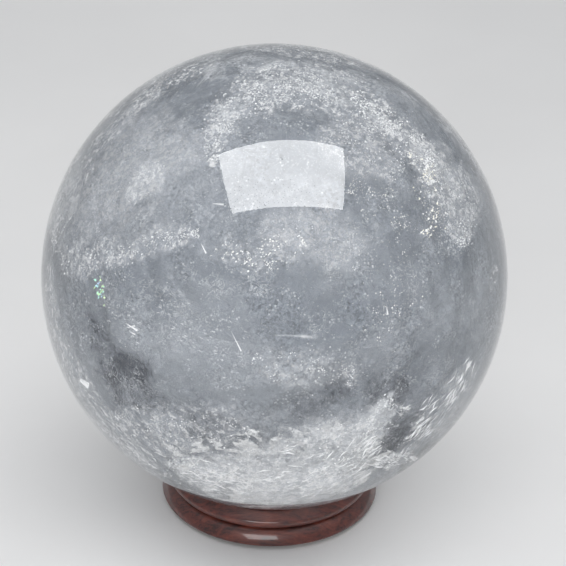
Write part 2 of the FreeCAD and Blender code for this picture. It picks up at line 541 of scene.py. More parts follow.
@dataclass(frozen=True)
class HealedCrack:
    """A thin white sheet of healed crack, crisp along its border and torn inside it.

    milk is how dense it is, powder how grainy, and mottle how broken into patches.
    """

    name: str
    milk: float
    powder: float
    mottle: float
    shift: Vector
    tone: Colour = (0.70, 0.725, 0.76)
    bright: Colour = (0.96, 0.96, 0.96)

    def material(self) -> bpy.types.Material:
        """Builds the finish, which reads how far each point is from the sheet's border.

        Returns:
            A see-through material.
        """
        made, wiring, shader, _ = new_material(self.name)
        place = wiring.shifted(wiring.place(), self.shift)
        rough = wiring.noise(place, 260.0, 8.0, 0.72, 0.8)
        ragged = wiring.ramp(rough, 0.25, 0.75, -0.22, 0.22)
        full = 0.96 - 0.74 * self.powder
        shown = wiring.ramp(wiring.maths("ADD", wiring.attribute("border"), ragged), 0.06, full)
        powder = wiring.noise(place, 1200.0, 3.0, 0.78, 0.6)
        body = wiring.ramp(powder, 0.44, 0.57, (1.0 - self.powder) * self.milk, self.milk)
        clumps = wiring.ramp(wiring.noise(place, 480.0, 5.0, 0.7, 1.2), 0.42, 0.56, 1.0 - self.powder, 1.0)
        clumps = wiring.maths("MULTIPLY", clumps, wiring.ramp(rough, 0.38, 0.54, 1.0 - self.mottle, 1.0))
        body = wiring.maths("MULTIPLY", body, clumps)
        wiring.feed(shader.inputs["Alpha"], wiring.maths("MULTIPLY", body, shown, clamp=True))
        tone = wiring.blend(wiring.ramp(powder, 0.45, 0.62), self.tone, self.bright)
        wiring.feed(shader.inputs["Base Color"], tone)
        shader.inputs["Roughness"].default_value = 0.6
        shader.inputs["Specular IOR Level"].default_value = 0.2
        wiring.feed(shader.inputs["Normal"], wiring.bump(rough, 0.8 * MM, 0.6))
        return made


@dataclass(frozen=True)
class PackedSnow:
    """The crumpled, fibrous white of a crushed zone, with painted shade in the low parts of its folds."""

    name: str = "packed_snow"
    white: Colour = (0.96, 0.965, 0.97)
    shade: Colour = (0.33, 0.365, 0.42)

    def material(self) -> bpy.types.Material:
        """Builds the finish.

        Returns:
            The material.
        """
        made, wiring, shader, _ = new_material(self.name)
        place = wiring.place()
        folds = wiring.noise(place, 420.0, 6.0, 0.68, 0.9)
        rough = wiring.noise(place, 170.0, 7.0, 0.7, 1.0)
        border = wiring.maths("ADD", wiring.attribute("border"), wiring.ramp(rough, 0.28, 0.72, -0.40, 0.40))
        crest = wiring.attribute("crest")
        height = wiring.weighed(crest, 0.85, folds, 0.40)
        dense = wiring.ramp(height, 0.40, 0.50)
        wiring.feed(shader.inputs["Alpha"], wiring.maths("MULTIPLY", wiring.ramp(border, 0.10, 0.30), dense))
        # Painted shade: the low parts of the folds take the shade colour, the crests white.
        tone = wiring.blend(wiring.ramp(height, 0.44, 0.55), self.shade, self.white)
        wiring.feed(shader.inputs["Base Color"], tone)
        shader.inputs["Roughness"].default_value = 0.55
        wiring.feed(shader.inputs["Normal"], wiring.bump(folds, 0.9 * MM, 0.9))
        return made


@dataclass(frozen=True)
class FlashingFlake:
    """Tiny crack faces that flash white, some warm, and a few from green to cyan; that green to cyan is a
    painted glint, the colour that light breaks into in a thin crack.
    """

    name: str
    white: Colour = (0.97, 0.975, 0.98)
    warm: Colour = (0.96, 0.90, 0.72)

    def material(self) -> bpy.types.Material:
        """Builds the finish, which reads each face's own hue, warmth and colour.

        Returns:
            The material.
        """
        made, wiring, shader, _ = new_material(self.name)
        hue = wiring.attribute("hue")
        rainbow = wiring.node("CombineColor", mode="HSV")
        wiring.feed(rainbow.inputs[0], wiring.ramp(hue, 0.0, 1.0, 0.24, 0.60))
        rainbow.inputs[1].default_value = 0.45
        rainbow.inputs[2].default_value = 1.0
        plain = wiring.blend(wiring.attribute("warmth"), self.white, self.warm)
        tone = wiring.blend(wiring.attribute("rainbow"), plain, rainbow.outputs[0])
        wiring.feed(shader.inputs["Base Color"], tone)
        wiring.feed(shader.inputs["Roughness"], wiring.ramp(hue, 0.0, 1.0, 0.2, 0.6))
        return made


@dataclass(frozen=True)
class Rosewood:
    """Dark red-brown turned wood under gloss lacquer.

    bands, fibres, pores and turning_lines are how many of each there are to the metre.
    """

    heart: Colour = (0.105, 0.022, 0.016)
    vein: Colour = (0.022, 0.006, 0.006)
    light: Colour = (0.20, 0.048, 0.028)
    bands: float = 520.0
    fibres: float = 3600.0
    pores: float = 2600.0
    turning_lines: float = 3200.0

    def material(self) -> bpy.types.Material:
        """Builds the finish.

        Returns:
            The material.
        """
        made, wiring, shader, _ = new_material("lacquered_rosewood")
        place = wiring.place()
        along = wiring.shifted(place, Vector((0.013, 0.0, 0.021)), Vector((0.16, 1.0, 1.0)))
        bands = wiring.noise(along, self.bands, 5.0, 0.62, 1.6)
        fibres = wiring.noise(along, self.fibres, 3.0, 0.6, 0.2)
        pores = wiring.ramp(wiring.cells(along, self.pores), 0.20, 0.08)
        colour = wiring.blend(wiring.ramp(bands, 0.36, 0.64), self.vein, self.heart)
        colour = wiring.blend(wiring.ramp(bands, 0.55, 0.78, 0.0, 0.8), colour, self.light)
        colour = wiring.blend(wiring.ramp(fibres, 0.35, 0.65, 0.0, 0.35), colour, self.light)
        colour = wiring.blend(wiring.maths("MULTIPLY", pores, 0.7), colour, self.vein)
        wiring.feed(shader.inputs["Base Color"], colour)
        wiring.feed(shader.inputs["Roughness"], wiring.ramp(fibres, 0.3, 0.7, 0.30, 0.42))
        shader.inputs["Coat Weight"].default_value = 1.0
        shader.inputs["Coat Roughness"].default_value = 0.06
        shader.inputs["Coat IOR"].default_value = 1.52
        parts = wiring.node("SeparateXYZ")
        wiring.feed(parts.inputs[0], place)
        out = wiring.maths("POWER", parts.outputs[0], 2.0)
        out = wiring.maths("SQRT", wiring.maths("ADD", out, wiring.maths("POWER", parts.outputs[1], 2.0)))
        ring = wiring.node("CombineXYZ")
        wiring.feed(ring.inputs[0], out)
        wiring.feed(ring.inputs[2], parts.outputs[2])
        turned = wiring.noise(ring.outputs[0], self.turning_lines, 3.0, 0.6)
        relief = wiring.weighed(turned, 0.6, pores, -0.7)
        wiring.feed(shader.inputs["Normal"], wiring.bump(relief, 0.014 * MM, 0.6))
        return made


@dataclass(frozen=True)
class Felt:
    """Pressed wool felt; tufts, strands and hairs are how many of each there are to the metre."""

    name: str
    dark: Colour
    pale: Colour
    fibre: Colour
    tufts: float = 2400.0
    strands: float = 5200.0
    hairs: float = 1500.0

    def material(self) -> bpy.types.Material:
        """Builds the finish.

        Returns:
            The material.
        """
        made, wiring, shader, _ = new_material(self.name)
        place = wiring.place()
        tufts = wiring.noise(place, self.tufts, 6.0, 0.72, 2.2)
        drawn = wiring.shifted(place, Vector(), Vector((1.0, 0.3, 1.0)))
        strands = wiring.noise(drawn, self.strands, 3.0, 0.6, 3.0)
        mixed = wiring.maths("MULTIPLY", wiring.maths("ADD", tufts, strands), 0.5)
        loose = wiring.lines(place, self.hairs, 3.0)
        colour = wiring.blend(wiring.ramp(mixed, 0.40, 0.60), self.dark, self.pale)
        colour = wiring.blend(wiring.ramp(loose, 0.022, 0.004, 0.0, 0.6), colour, self.fibre)
        wiring.feed(shader.inputs["Base Color"], colour)
        shader.inputs["Roughness"].default_value = 0.95
        shader.inputs["Sheen Weight"].default_value = 0.35
        shader.inputs["Sheen Roughness"].default_value = 0.4
        wiring.feed(shader.inputs["Normal"], wiring.bump(mixed, 0.12 * MM, 0.9))
        return made


@dataclass(frozen=True)
class PaleFloor:
    """A plain pale table top."""

    tone: Colour = (0.88, 0.875, 0.87)

    def material(self) -> bpy.types.Material:
        """Builds the finish.

        Returns:
            The material.
        """
        made, wiring, shader, _ = new_material("pale_floor")
        place = wiring.place()
        soft = wiring.ramp(wiring.noise(place, 9.0, 4.0, 0.5), 0.3, 0.7, 0.97, 1.03)
        wiring.feed(shader.inputs["Base Color"], wiring.blend(1.0, self.tone, wiring.grey(soft), "MULTIPLY"))
        shader.inputs["Roughness"].default_value = 0.7
        shader.inputs["Specular IOR Level"].default_value = 0.25
        return made


def finish_piece(piece: bpy.types.Object, material: bpy.types.Material, body: Body) -> None:
    """Dresses a new piece and lets it ride.

    Args:
        piece: the new object.
        material: its finish.
        body: the body it moves with.
    """
    piece.data.materials.append(material)
    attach(piece, body.value)
    log.info("%s: %d points, rides on %s", piece.name, len(piece.data.vertices), body.value)


def add_object(name: str, mesh: bpy.types.Mesh) -> bpy.types.Object:
    """Links a mesh into the scene.

    Args:
        name: the piece's name.
        mesh: its mesh.

    Returns:
        The object.
    """
    made = bpy.data.objects.new(name, mesh)
    bpy.context.scene.collection.objects.link(made)
    return made


def lattice(lines: int, columns: int, first: int = 0) -> list[tuple[int, ...]]:
    """Joins points that lie in lines into faces.

    Args:
        lines: how many faces lie one way.
        columns: how many lie the other way, along a line of points.
        first: the first point's number.

    Returns:
        The faces, each by its four points' numbers.
    """
    wide = columns + 1
    starts = [first + line * wide + column for line in range(lines) for column in range(columns)]
    return [(start, start + 1, start + wide + 1, start + wide) for start in starts]


def store(mesh: bpy.types.Mesh, name: str, values: list[float], domain: str = "POINT") -> None:
    """Stores one number per point or face.

    Args:
        mesh: the mesh.
        name: the attribute's name.
        values: the numbers.
        domain: POINT or FACE.
    """
    layer = mesh.attributes.new(name, "FLOAT", domain)
    layer.data.foreach_set("value", values)


@dataclass(frozen=True)
class Eye:
    """Where the ball is looked at from; azimuth 0 is the front."""

    azimuth: float = 0.0
    elevation: float = 30.0
    roll: float = 1.5
    distance: float = 0.50

    def back(self) -> Vector:
        """From the ball towards the eye."""
        turn, rise = math.radians(self.azimuth), math.radians(self.elevation)
        return Vector((math.sin(turn) * math.cos(rise), -math.cos(turn) * math.cos(rise), math.sin(rise)))

    def axes(self) -> tuple[Vector, Vector]:
        """The eye's right and up.

        Returns:
            Two unit vectors.
        """
        back = self.back()
        across = UP.cross(back).normalized()
        top = back.cross(across)
        angle = math.radians(self.roll)
        turned = across * math.cos(angle) + top * math.sin(angle)
        return turned, back.cross(turned)


FRONT = Eye()


@dataclass(frozen=True)
class Spot:
    """A round patch inside the ball, by where it seems to be on the disc that an eye sees.

    across, up and reach are shares of the ball's radius.
    """

    across: float
    up: float
    reach: float
    strength: float = 1.0


class Growth(Enum):
    """What a crack zone is filled with."""

    CRYSTALS = "crystals"
    FIBRES = "fibres"


@dataclass(frozen=True)
class Zone:
    """A strip of cracked or cloudy quartz, by the path that it follows on the disc.

    Each point of the path is across, up and half the strip's width, as shares of the
    ball's radius. grains is how many faces it holds, and size is a face's longest
    reach in millimetres. haze is how dense its milk is, and glow how much of it shows
    on the heart behind it. crowd is how strongly the faces gather in clumps, powder
    how grainy the milk is, mottle how broken it is into patches, and flash how many of
    the faces lie flat to the light.
    """

    name: str
    path: tuple[PathPoint, ...]
    depth: float = 0.92
    haze: float = 0.0
    glow: float = 0.0
    grains: int = 0
    size: float = 0.16
    crowd: float = 0.5
    powder: float = 0.75
    mottle: float = 0.3
    flash: float = 0.6
    warmth: float = 0.0
    growth: Growth = Growth.CRYSTALS

    def at(self, share: float) -> PathPoint:
        """The place and half width at a share of the path's length.

        Args:
            share: 0 at the start, 1 at the end.

        Returns:
            Across, up and half width.
        """
        span = min(max(share, 0.0), 0.9999) * (len(self.path) - 1)
        first = int(span)
        part = span - first
        before = self.path[max(first - 1, 0)]
        start, end = self.path[first], self.path[first + 1]
        after = self.path[min(first + 2, len(self.path) - 1)]
        smooth = []
        for one, two, three, four in zip(before, start, end, after):
            bend = two * 2.0 + (three - one) * part
            bend += (one * 2.0 - two * 5.0 + three * 4.0 - four) * part ** 2
            bend += (two * 3.0 - one - three * 3.0 + four) * part ** 3
            smooth.append(bend / 2.0)
        return smooth[0], smooth[1], max(smooth[2], 0.0)

    def side(self, share: float) -> Place:
        """The direction square to the path, towards its left.

        Args:
            share: 0 at the start, 1 at the end.

        Returns:
            Across and up, of unit length.
        """
        here, ahead = self.at(share - 0.01), self.at(share + 0.01)
        run = math.hypot(ahead[0] - here[0], ahead[1] - here[1]) or 1.0
        return -(ahead[1] - here[1]) / run, (ahead[0] - here[0]) / run


@dataclass(frozen=True)
class Side:
    """One side of the ball, which zones are laid out on as its own eye sees them.

    flip is -1 to mirror the zones, and picks names the zones that it has, or is empty
    for all of them. front_gap keeps them out of the front: they end where the way from
    the ball's middle turns this far towards the front eye.
    """

    name: str
    eye: Eye
    flip: float = 1.0
    picks: tuple[str, ...] = ()
    front_gap: float = 0.42

    def open_at(self, place: Vector) -> float:
        """How much room the front leaves at a place.

        Args:
            place: from the ball's middle.

        Returns:
            1 or more where there is room, down to 0 and below at the front.
        """
        if self.eye is FRONT:
            return 1.0
        return (self.front_gap - place.normalized().dot(FRONT.back())) * 5.0


@dataclass(frozen=True)
class Blade:
    """A thin bright sliver between two places on the disc."""

    start: Place
    end: Place
    width: float
    point: float = 0.1
    depth: float = 0.93


class Shards:
    """Collects loose faces with their colours, to make one mesh of them."""

    def __init__(self) -> None:
        """Starts with none."""
        self.points: list[Vector] = []
        self.faces: list[tuple[int, ...]] = []
        self.hues: list[float] = []
        self.warmths: list[float] = []
        self.rainbows: list[float] = []

    def add(self, corners: list[Vector], hue: float, warmth: float = 0.0, rainbow: float = 0.0) -> None:
        """Adds one face.

        Args:
            corners: its corners.
            hue: its own number, 0 to 1.
            warmth: how yellow it is.
            rainbow: how strongly its own hue shows.
        """
        first = len(self.points)
        self.points.extend(corners)
        self.faces.append(tuple(range(first, first + len(corners))))
        self.hues.append(hue)
        self.warmths.append(warmth)
        self.rainbows.append(rainbow)

    def mesh(self, name: str) -> bpy.types.Mesh:
        """Makes the mesh.

        Args:
            name: the mesh's name.

        Returns:
            The mesh, with its faces' numbers stored on it.
        """
        made = bpy.data.meshes.new(name)
        made.from_pydata(self.points, [], self.faces)
        store(made, "hue", self.hues, "FACE")
        store(made, "warmth", self.warmths, "FACE")
        store(made, "rainbow", self.rainbows, "FACE")
        return made


@dataclass
class CrystalBall:
    """The quartz ball: its polished skin, and all that is grown and cracked inside it.

    heart_depth, heart_least and heart_most are where the heart lies, and how far in and
    out its lumps may reach, as shares of the radius. loose_sizes are in millimetres,
    and grain_shares are shares of a zone's own size.
    """

    seed: int = 7
    index: float = PolishedQuartz.index
    heart_depth: float = 0.745
    heart_least: float = 0.672
    heart_most: float = 0.84
    glow_steps: int = 14
    veil_steps: int = 120
    veil_rows: int = 26
    snow_columns: int = 260
    snow_lines: int = 150
    loose_grains: int = 13000
    loose_sizes: tuple[float, ...] = (0.04, 0.05, 0.06, 0.08, 0.12)
    grain_shares: tuple[float, ...] = (0.35, 0.45, 0.6, 0.8, 1.0)
    bright_flakes: Spot = Spot(-0.71, -0.05, 0.027)
    bright_flake_count: int = 26
    centre: Vector = field(init=False)
    radius: float = field(init=False)
    dice: random.Random = field(init=False)
    # Where the heart is painted dark: painted shade for clear quartz with dark surroundings seen through it.
    # Each also dips the heart a little.
    pockets: tuple[Spot, ...] = (
        Spot(-0.62, -0.44, 0.17),
        Spot(-0.76, -0.25, 0.12, 0.8),
        Spot(-0.28, -0.64, 0.13, 0.8),
        Spot(0.14, -0.54, 0.10, 0.8),
        Spot(0.28, -0.50, 0.10, 0.8),
        Spot(0.48, -0.50, 0.13),
        Spot(0.55, -0.66, 0.14),
        Spot(0.44, -0.72, 0.10),
        Spot(0.62, -0.36, 0.12, 0.5),
        Spot(0.50, 0.08, 0.20, 0.35),
        Spot(0.44, 0.28, 0.10, 0.4),
        Spot(-0.44, -0.16, 0.12, 0.35),
    )
    zones: tuple[Zone, ...] = (
        Zone(
            "arc_veil",
            (
                (-0.25, 0.44, 0.01), (-0.23, 0.58, 0.05), (-0.15, 0.71, 0.08), (0.0, 0.78, 0.09),
                (0.19, 0.77, 0.09), (0.36, 0.70, 0.08), (0.49, 0.61, 0.06), (0.60, 0.50, 0.05),
                (0.65, 0.38, 0.03),
            ),
            haze=0.9, glow=0.6, grains=4800, size=0.25, crowd=1.8, powder=0.8, mottle=0.5, flash=1.3,
        ),
        Zone(
            "right_cloud",
            (
                (0.57, 0.58, 0.02), (0.66, 0.46, 0.09), (0.745, 0.33, 0.11), (0.77, 0.20, 0.07),
                (0.77, 0.12, 0.02),
            ),
            depth=0.90, haze=0.85, glow=0.6, grains=900, size=0.21, crowd=1.4, powder=0.5, mottle=0.5,
            flash=1.0,
        ),
        Zone(
            "warm_sparkles",
            (
                (0.55, 0.50, 0.03), (0.64, 0.42, 0.04), (0.59, 0.33, 0.05), (0.66, 0.24, 0.04),
                (0.62, 0.16, 0.03),
            ),
            depth=0.94, grains=260, size=0.36, crowd=1.0, flash=2.5, warmth=0.8,
        ),
        Zone(
            "patch_under_arc",
            ((0.16, 0.57, 0.03), (0.28, 0.54, 0.09), (0.40, 0.50, 0.10), (0.52, 0.42, 0.05)),
            depth=0.88, haze=0.5, glow=0.35, grains=700, size=0.19, crowd=1.6, powder=0.5, flash=1.0,
        ),
        Zone(
            "specks_by_the_window",
            ((0.30, 0.36, 0.04), (0.40, 0.31, 0.06), (0.50, 0.25, 0.06), (0.56, 0.16, 0.03)),
            depth=0.93, grains=460, size=0.20, crowd=1.4, flash=1.4, warmth=0.4,
        ),
        Zone(
            "left_cloud",
            (
                (-0.90, 0.10, 0.04), (-0.82, 0.26, 0.17), (-0.68, 0.40, 0.25), (-0.50, 0.50, 0.22),
                (-0.34, 0.52, 0.10), (-0.24, 0.50, 0.02),
            ),
            depth=0.87, haze=0.42, glow=0.38, grains=260, size=0.10, powder=0.15,
        ),
        Zone(
            "bright_patch_in_the_left_cloud",
            ((-0.60, 0.30, 0.02), (-0.52, 0.39, 0.06), (-0.46, 0.46, 0.03)),
            depth=0.91, haze=0.7, grains=110, size=0.16, powder=0.5, flash=1.0,
        ),
        Zone(
            "left_cloud_border",
            (
                (-0.93, 0.16, 0.01), (-0.82, 0.05, 0.06), (-0.70, 0.10, 0.07), (-0.58, 0.10, 0.05),
                (-0.44, 0.15, 0.05), (-0.30, 0.17, 0.02),
            ),
            haze=0.6, glow=0.45, grains=800, size=0.24, crowd=2.2, powder=0.7, mottle=0.9, flash=1.0,
        ),
        Zone(
            "left_rim_tear",
            (
                (-0.94, 0.05, 0.01), (-0.94, -0.16, 0.04), (-0.88, -0.37, 0.06), (-0.77, -0.55, 0.06),
                (-0.62, -0.70, 0.05), (-0.50, -0.78, 0.02),
            ),
            depth=0.93, haze=0.7, glow=0.4, grains=520, size=0.60, crowd=1.0, flash=0.8, growth=Growth.FIBRES,
        ),
        Zone(
            "middle_sparkles",
            ((-0.22, 0.13, 0.05), (-0.10, 0.06, 0.05), (0.02, 0.10, 0.06), (0.12, 0.14, 0.03)),
            depth=0.94, haze=0.35, grains=420, size=0.30, crowd=1.8, flash=1.6, warmth=0.25,
        ),
        Zone(
            "middle_cloud",
            ((-0.08, 0.20, 0.03), (0.06, 0.18, 0.10), (0.20, 0.15, 0.13), (0.36, 0.06, 0.05)),
            depth=0.86, haze=0.40, glow=0.3, grains=300, size=0.15, crowd=1.2, powder=0.25,
        ),
        Zone(
            "clear_wedge",
            ((-0.01, -0.235, 0.002), (0.08, -0.238, 0.006), (0.195, -0.245, 0.012)),
            depth=0.94, haze=0.62, powder=0.0,
        ),
        Zone(
            "right_scatter",
            ((0.50, 0.18, 0.08), (0.52, 0.02, 0.12), (0.46, -0.12, 0.12), (0.36, -0.24, 0.10)),
            depth=0.92, grains=420, size=0.20, crowd=1.8, flash=1.2, warmth=0.3,
        ),
        Zone(
            "left_squiggles",
            ((-0.72, -0.10, 0.12), (-0.50, -0.18, 0.14), (-0.30, -0.24, 0.12), (-0.12, -0.30, 0.10)),
            depth=0.92, grains=340, size=0.45, crowd=1.8, flash=1.2, growth=Growth.FIBRES,
        ),
        Zone(
            "lower_left_grain",
            (
                (-0.66, -0.56, 0.02), (-0.52, -0.62, 0.09), (-0.36, -0.66, 0.12), (-0.22, -0.60, 0.09),
                (-0.10, -0.66, 0.03),
            ),
            haze=0.65, glow=0.3, grains=900, size=0.20, crowd=1.8, powder=0.7, mottle=0.9, flash=1.0,
        ),
        Zone(
            "lower_middle_grain",
            ((-0.08, -0.32, 0.03), (0.06, -0.38, 0.07), (0.20, -0.36, 0.07), (0.34, -0.42, 0.03)),
            haze=0.45, grains=700, size=0.20, crowd=1.9, powder=0.7, mottle=0.8, flash=1.0,
        ),
        # Low in front the white is partly the crushed quartz's own and partly a painted pool of the light
        # that the ball focuses there; its glow of 1.0 whitens the heart most.
        Zone(
            "snow_drift_and_painted_glow",
            (
                (-0.44, -0.78, 0.02), (-0.28, -0.82, 0.09), (-0.08, -0.83, 0.14), (0.12, -0.80, 0.17),
                (0.28, -0.72, 0.15), (0.40, -0.61, 0.08), (0.49, -0.50, 0.02),
            ),
            depth=0.91, haze=0.97, glow=1.0, grains=1500, size=0.26, crowd=1.8, powder=0.35, mottle=0.45,
            flash=1.2,
        ),
        Zone(
            "snow_core",
            ((-0.12, -0.87, 0.02), (0.02, -0.86, 0.08), (0.18, -0.84, 0.09), (0.32, -0.76, 0.05)),
            depth=0.945, haze=0.97, grains=500, size=0.30, crowd=1.6, powder=0.25, mottle=0.25, flash=1.4,
        ),
        Zone(
            "snow_fibres",
            (
                (-0.38, -0.82, 0.05), (-0.16, -0.86, 0.09), (0.08, -0.86, 0.12), (0.28, -0.78, 0.12),
                (0.42, -0.68, 0.05),
            ),
            depth=0.955, grains=420, size=1.3, crowd=2.0, flash=1.2, growth=Growth.FIBRES,
        ),
        Zone(
            "feather",
            ((0.42, -0.775, 0.02), (0.50, -0.765, 0.03), (0.60, -0.755, 0.02)),
            depth=0.945, haze=0.9, grains=260, size=0.95, crowd=0.2, flash=1.0, growth=Growth.FIBRES,
        ),
        Zone(
            "rim_streaks",
            (
                (0.52, -0.74, 0.02), (0.62, -0.64, 0.05), (0.71, -0.54, 0.07), (0.78, -0.44, 0.05),
                (0.82, -0.36, 0.02),
            ),
            depth=0.93, haze=0.45, glow=0.3, grains=420, size=1.2, crowd=1.8, flash=1.0, growth=Growth.FIBRES,
        ),
    )
    sides: tuple[Side, ...] = (
        Side("front", FRONT),
        Side(
            "back", Eye(184.0, 12.0), -1.0,
            (
                "arc_veil", "right_cloud", "left_cloud", "left_cloud_border", "middle_cloud",
                "patch_under_arc", "lower_left_grain", "left_rim_tear", "snow_drift_and_painted_glow", "snow_fibres",
                "left_squiggles",
            ),
        ),
        Side(
            "right", Eye(96.0, 2.0), 1.0,
            ("middle_cloud", "patch_under_arc", "right_scatter", "lower_middle_grain", "left_cloud_border",
             "snow_drift_and_painted_glow", "rim_streaks"),
        ),
        Side(
            "left", Eye(-94.0, 6.0), -1.0,
            ("arc_veil", "middle_cloud", "left_squiggles", "lower_left_grain", "right_cloud", "snow_fibres"),
        ),
    )
    blades: tuple[Blade, ...] = (
        Blade((0.452, -0.12), (0.456, -0.155), 0.30),
        Blade((-0.60, -0.19), (-0.55, -0.22), 0.40),
        Blade((-0.60, -0.21), (-0.56, -0.20), 0.30),
        Blade((-0.585, -0.225), (-0.56, -0.235), 0.25),
        Blade((-0.81, -0.43), (-0.77, -0.455), 1.6, 0.6),
        Blade((-0.17, -0.22), (-0.13, -0.30), 0.22),
        Blade((-0.245, 0.29), (-0.20, 0.285), 0.30),
        Blade((-0.29, 0.13), (-0.27, 0.09), 0.25),
        Blade((0.57, -0.755), (0.60, -0.775), 0.9, 0.5),
    )

    def __post_init__(self) -> None:
        """Reads the ball's size and place from the frame."""
        low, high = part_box("crystal_ball")
        self.centre = (low + high) / 2
        self.radius = (high.z - low.z) / 2
        self.dice = random.Random(self.seed)

    def inside(self, across: float, up: float, depth: float, eye: Eye = FRONT) -> Vector:
        """Finds the point inside the ball that is seen at a place on its disc.

        Args:
            across: to the right, as a share of the radius.
            up: upwards, as a share of the radius.
            depth: the point's distance from the middle, as a share of the radius.
            eye: who looks.

        Returns:
            The point, from the ball's middle, in metres.
        """
        span = min(math.hypot(across, up), 0.995)
        right, top = eye.axes()
        back = eye.back()
        if span < 1e-6:
            return back * depth * self.radius
        side = (right * across + top * up).normalized()
        bent = math.asin(span / self.index)
        met = math.asin(min(span / self.index / depth, 1.0))
        angle = math.asin(span) - bent + met
        return (side * math.sin(angle) + back * math.cos(angle)) * depth * self.radius

    def on_side(self, side: Side, across: float, up: float, depth: float) -> Vector:
        """Finds a point inside the ball from its place on a side's own disc.

        Args:
            side: the side.
            across: to the right, as a share of the radius, before the side mirrors it.
            up: upwards, as a share of the radius.
            depth: the point's distance from the middle, as a share of the radius.

        Returns:
            The point, from the ball's middle, in metres.
        """
        return self.inside(across * side.flip, up, depth, side.eye)

    def zones_of(self, side: Side) -> list[Zone]:
        """The zones that a side has."""
        return [zone for zone in self.zones if not side.picks or zone.name in side.picks]

    def anywhere(self) -> Vector:
        """A random direction, evenly spread."""
        return Vector([self.dice.gauss(0.0, 1.0) for _ in range(3)]).normalized()

    def make(self, name: str, mesh: bpy.types.Mesh, material: bpy.types.Material) -> bpy.types.Object:
        """Turns a mesh into a dressed piece of the ball.

        Args:
            name: the piece's name.
            mesh: its mesh.
            material: its finish.

        Returns:
            The piece.
        """
        piece = add_object(name, mesh)
        finish_piece(piece, material, Body.BALL)
        return piece

    def globe(self, name: str, fineness: int) -> bpy.types.Mesh:
        """Makes a round mesh of radius 1 m with smooth shading.

        Args:
            name: the mesh's name.
            fineness: how many times it is subdivided.

        Returns:
            The mesh.
        """
        shape = bmesh.new()
        bmesh.ops.create_icosphere(shape, subdivisions=fineness, radius=1.0)
        mesh = bpy.data.meshes.new(name)
        shape.to_mesh(mesh)
        shape.free()
        mesh.shade_smooth()
        return mesh

    def skin(self) -> bpy.types.Object:
        """Makes the polished outside.

        Returns:
            The piece.
        """
        mesh = self.globe("ball_skin", 6)
        for point in mesh.vertices:
            point.co = self.centre + point.co * self.radius
        return self.make("ball_skin", mesh, PolishedQuartz().material())

    def heart(self) -> bpy.types.Object:
        """Makes the dense, lumpy milk in the middle.

        Returns:
            The piece.
        """
        mesh = self.globe("milky_heart", 7)
        dark = Nearness(self.radius)
        bright = Nearness(self.radius)
        for side in self.sides:
            # The pocket mask paints the heart dark (painted shade for dark surroundings seen through clear
            # quartz) and dips it a little.
            for spot in self.pockets:
                here = self.on_side(side, spot.across, spot.up, self.heart_depth)
                if side.open_at(here) > 0.5:
                    dark.add(here, spot)
            for zone in self.zones_of(side):
                for step in range(self.glow_steps + 1):
                    spot = Spot(*zone.at(step / self.glow_steps), zone.glow)
                    here = self.on_side(side, spot.across, spot.up, self.heart_depth)
                    if zone.glow and side.open_at(here) > 0.5:
                        bright.add(here, spot)
        painted_dark_pocket: list[float] = []
        snow: list[float] = []
        for point in mesh.vertices:
            way = point.co.normalized()
            here = way * self.heart_depth * self.radius
            wobble = 0.4 * noise.fractal(way * 6.0, 0.9, 2.0, 5)
            painted_dark_pocket.append(dark.at(here, wobble))
            snow.append(bright.at(here, wobble))
            lumps = noise.fractal(way * 2.6 + Vector((3.1, 0.4, 7.7)), 1.0, 2.1, 5)
            ridges = noise.ridged_multi_fractal(way * 5.5, 0.9, 2.2, 6, 0.9, 2.0)
            level = self.heart_depth + 0.022 * lumps + 0.012 * (ridges - 1.2)
            level += 0.035 * snow[-1] - 0.045 * painted_dark_pocket[-1]
            point.co = self.centre + way * self.radius * min(max(level, self.heart_least), self.heart_most)
        store(mesh, "painted_dark_pocket", painted_dark_pocket)
        store(mesh, "snow", snow)
        return self.make("milky_heart", mesh, MilkyHeart().material())

    def milk_shell(self, number: int, depth: float, finish: DriftingMilk) -> bpy.types.Object:
        """Makes one sheet of thin milk all round the heart.

        Args:
            number: which sheet.
            depth: its distance from the middle, as a share of the radius.
            finish: its finish.

        Returns:
            The piece.
        """
        mesh = self.globe(f"thin_milk_{number}", 5)
        for point in mesh.vertices:
            way = point.co.normalized()
            wave = noise.fractal(way * 2.2 + Vector((number * 4.7, 0.0, 1.3)), 1.0, 2.0, 4)
            point.co = self.centre + way * self.radius * (depth + 0.018 * wave)
        piece = self.make(mesh.name, mesh, finish.material())
        piece.visible_shadow = False
        return piece

    def veil(self, name: str, zones: list[Zone], side: Side, number: int) -> bpy.types.Object:
        """Makes the milk of some zones, as thin curved strips.

        Args:
            name: the piece's name.
            zones: the zones, which share the first one's density.
            side: the side that they are on.
            number: which veil, so that no two have the same pattern.

        Returns:
            The piece.
        """
        points: list[Vector] = []
        faces: list[tuple[int, ...]] = []
        border: list[float] = []
        for zone in zones:
            first = len(points)
            for step in range(self.veil_steps + 1):
                share = step / self.veil_steps
                across, up, half = zone.at(share)
                left = zone.side(share)
                ends = min(share, 1.0 - share) * 4.0
                for row in range(self.veil_rows + 1):
                    out = row / self.veil_rows * 2.0 - 1.0
                    reach = 1.45 * out * half
                    spot = (across + left[0] * reach, up + left[1] * reach)
                    wave = noise.fractal(Vector((*spot, number)) * 4.0, 1.0, 2.0, 4)
                    depth = min(max(zone.depth - 0.012 + 0.018 * wave, 0.70), 0.965)
                    here = self.on_side(side, *spot, depth)
                    points.append(self.centre + here)
                    border.append(min(1.0 - abs(out), ends, side.open_at(here)))
            faces += lattice(self.veil_steps, self.veil_rows, first)
        mesh = bpy.data.meshes.new(name)
        mesh.from_pydata(points, [], faces)
        mesh.shade_smooth()
        store(mesh, "border", border)
        lead = zones[0]
        finish = HealedCrack(name, lead.haze, lead.powder, lead.mottle, Vector((0.0, 0.0, 0.37 * number)))
        piece = self.make(name, mesh, finish.material())
        piece.visible_shadow = False
        return piece

